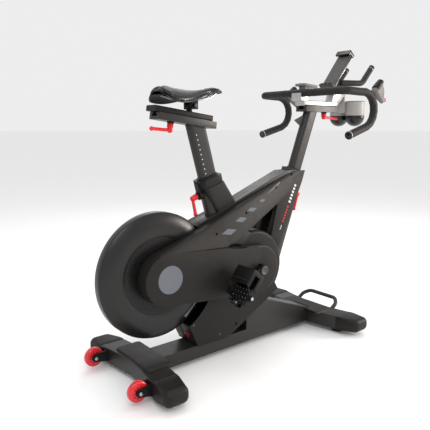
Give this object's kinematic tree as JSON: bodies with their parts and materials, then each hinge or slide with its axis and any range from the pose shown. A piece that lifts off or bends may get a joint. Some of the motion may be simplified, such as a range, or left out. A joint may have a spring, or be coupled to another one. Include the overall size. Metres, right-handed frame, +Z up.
{
  "type": "exercise bike",
  "caption": "Indoor exercise bike with an enclosed flywheel, adjustable saddle, drop handlebar, tablet holder and stabiliser feet.",
  "frame": {"origin": "on the floor under the middle of the bike", "axes": "+X forward towards the handlebar, +Y to the rider's left, +Z up"},
  "size_m": [1.384, 0.5658, 1.2379],
  "materials": {
    "black_frame": "satin black powder coat",
    "charcoal_plastic": "fine textured moulded plastic",
    "housing_plastic": "semi-gloss moulded plastic with a vent ring",
    "black_plastic": "moulded black plastic",
    "red_plastic": "red plastic with a soft gloss",
    "rubber": "matte black rubber",
    "bright_steel": "bright turned steel",
    "flywheel_iron": "machined cast iron",
    "magnet_grey": "dull grey plated metal",
    "crank_black": "black forged arm",
    "saddle_cover": "glossy black saddle cover",
    "bar_wrap": "black grip wrap",
    "silver_metal": "satin silver aluminium",
    "grey_plastic": "light grey moulded plastic"
  },
  "bodies": {
    "frame": {"main_beam": "black_frame", "rear_stabiliser": "black_frame", "front_stabiliser": "black_frame", "stabiliser_trim": "charcoal_plastic", "lift_handle": "black_frame", "wheel_forks": "charcoal_plastic", "seat_tube": "black_frame", "frame_arm": "black_frame", "head_tube": "black_frame", "frame_upright": "black_frame", "seat_clamp": "black_plastic", "post_sleeves": "black_plastic", "shell_right": "charcoal_plastic", "shell_left": "charcoal_plastic", "cover_right": "charcoal_plastic", "cover_left": "charcoal_plastic", "seat_shroud": "charcoal_plastic", "flywheel_cover_right": "housing_plastic", "flywheel_cover_left": "housing_plastic", "fasteners": "bright_steel", "bearings": "bright_steel", "flywheel_axle": "bright_steel", "brake_magnets": "magnet_grey", "belt": "rubber", "power_inlet": "black_plastic"},
    "wheel_left": {"wheel_left": "red_plastic"},
    "wheel_right": {"wheel_right": "red_plastic"},
    "foot_rear_left": {"foot_rear_left": "rubber"},
    "foot_rear_right": {"foot_rear_right": "rubber"},
    "foot_front_left": {"foot_front_left": "rubber"},
    "foot_front_right": {"foot_front_right": "rubber"},
    "flywheel": {"flywheel": "flywheel_iron", "flywheel_pulley": "bright_steel"},
    "crank": {"crank_axle": "bright_steel", "drive_pulley": "black_plastic", "crank_right": "crank_black", "crank_left": "crank_black"},
    "pedal_right": {"pedal_right": "black_plastic"},
    "pedal_left": {"pedal_left": "black_plastic"},
    "seat_post": {"seat_post": "black_frame"},
    "seat_carriage": {"seat_carriage": "black_plastic"},
    "saddle": {"saddle_clamp": "black_plastic", "saddle_rails": "bright_steel", "saddle_shell": "black_plastic", "saddle_pad": "saddle_cover"},
    "bar_post": {"bar_post": "black_frame"},
    "bars": {"bar_carriage": "silver_metal", "handlebar": "bar_wrap", "hoods": "grey_plastic", "grip_bars": "bar_wrap", "console": "grey_plastic", "tablet_holder": "grey_plastic", "bottle_cages": "grey_plastic"},
    "tablet_clamp": {"tablet_clamp": "black_plastic"},
    "button_left": {"button_left": "red_plastic"},
    "button_right": {"button_right": "red_plastic"},
    "lever_seat_height": {"lever_seat_height": "red_plastic"},
    "lever_seat_slide": {"lever_seat_slide": "red_plastic"},
    "lever_bar_height": {"lever_bar_height": "red_plastic"},
    "lever_bar_slide": {"lever_bar_slide": "red_plastic"}
  },
  "joints": [
    {"name": "crank_spin", "type": "hinge", "parent": "frame", "child": "crank", "pos_m": [-0.034, 0, 0.339], "axis": [0, 1, 0], "continuous": true},
    {"name": "flywheel_spin", "type": "hinge", "parent": "frame", "child": "flywheel", "pos_m": [-0.464, 0, 0.375], "axis": [0, 1, 0], "continuous": true},
    {"name": "pedal_right_spin", "type": "hinge", "parent": "crank", "child": "pedal_right", "pos_m": [-0.19758, 0, 0.28585], "axis": [0, 1, 0], "continuous": true},
    {"name": "pedal_left_spin", "type": "hinge", "parent": "crank", "child": "pedal_left", "pos_m": [0.12958, 0, 0.39215], "axis": [0, 1, 0], "continuous": true},
    {"name": "seat_height", "type": "slide", "parent": "frame", "child": "seat_post", "axis": [-0.2756, 0, 0.9613], "range_m": [-0.14, 0.08]},
    {"name": "seat_fore_aft", "type": "slide", "parent": "seat_post", "child": "seat_carriage", "axis": [0.9912, 0, -0.1323], "range_m": [-0.04, 0.06]},
    {"name": "saddle_tilt", "type": "hinge", "parent": "seat_carriage", "child": "saddle", "pos_m": [-0.29744, 0, 0.97065], "axis": [0, 1, 0], "range_deg": [-10, 10]},
    {"name": "bar_height", "type": "slide", "parent": "frame", "child": "bar_post", "axis": [0.3584, 0, 0.9336], "range_m": [-0.1, 0.08]},
    {"name": "bar_fore_aft", "type": "slide", "parent": "bar_post", "child": "bars", "axis": [1, 0, 0], "range_m": [-0.03, 0.05]},
    {"name": "tablet_clamp_lift", "type": "slide", "parent": "bars", "child": "tablet_clamp", "axis": [0.6293, 0, 0.7771], "range_m": [0, 0.03], "stiffness_N_per_m": 150},
    {"name": "button_left_press", "type": "slide", "parent": "bars", "child": "button_left", "axis": [-1, 0, 0], "range_m": [0, 0.004], "stiffness_N_per_m": 300},
    {"name": "button_right_press", "type": "slide", "parent": "bars", "child": "button_right", "axis": [-1, 0, 0], "range_m": [0, 0.004], "stiffness_N_per_m": 300},
    {"name": "wheel_left_spin", "type": "hinge", "parent": "frame", "child": "wheel_left", "pos_m": [-0.636, 0.161, 0.052], "axis": [0, 1, 0], "continuous": true},
    {"name": "wheel_right_spin", "type": "hinge", "parent": "frame", "child": "wheel_right", "pos_m": [-0.636, -0.161, 0.052], "axis": [0, 1, 0], "continuous": true},
    {"name": "foot_rear_left_turn", "type": "hinge", "parent": "frame", "child": "foot_rear_left", "pos_m": [-0.54382, 0.165, 0.01], "axis": [0, 0, 1], "continuous": true},
    {"name": "foot_rear_right_turn", "type": "hinge", "parent": "frame", "child": "foot_rear_right", "pos_m": [-0.54382, -0.165, 0.01], "axis": [0, 0, 1], "continuous": true},
    {"name": "foot_front_left_turn", "type": "hinge", "parent": "frame", "child": "foot_front_left", "pos_m": [0.38382, 0.165, 0.01], "axis": [0, 0, 1], "continuous": true},
    {"name": "foot_front_right_turn", "type": "hinge", "parent": "frame", "child": "foot_front_right", "pos_m": [0.38382, -0.165, 0.01], "axis": [0, 0, 1], "continuous": true},
    {"name": "lever_seat_height_turn", "type": "hinge", "parent": "frame", "child": "lever_seat_height", "pos_m": [-0.27012, 0, 0.6408], "axis": [-0.9613, 0, -0.2756], "range_deg": [-90, 90]},
    {"name": "lever_seat_slide_turn", "type": "hinge", "parent": "seat_post", "child": "lever_seat_slide", "pos_m": [-0.386, 0, 0.91184], "axis": [-0.1323, 0, -0.9912], "range_deg": [-90, 90]},
    {"name": "lever_bar_height_turn", "type": "hinge", "parent": "frame", "child": "lever_bar_height", "pos_m": [0.25602, 0, 0.61328], "axis": [0.9336, 0, -0.3584], "range_deg": [-90, 90]},
    {"name": "lever_bar_slide_turn", "type": "hinge", "parent": "bar_post", "child": "lever_bar_slide", "pos_m": [0.438, 0, 0.961], "axis": [0, 0, -1], "range_deg": [-90, 90]}
  ],
  "couplings": [
    {"joint": "crank_spin", "follows": "flywheel_spin", "ratio": 0.25}
  ]
}
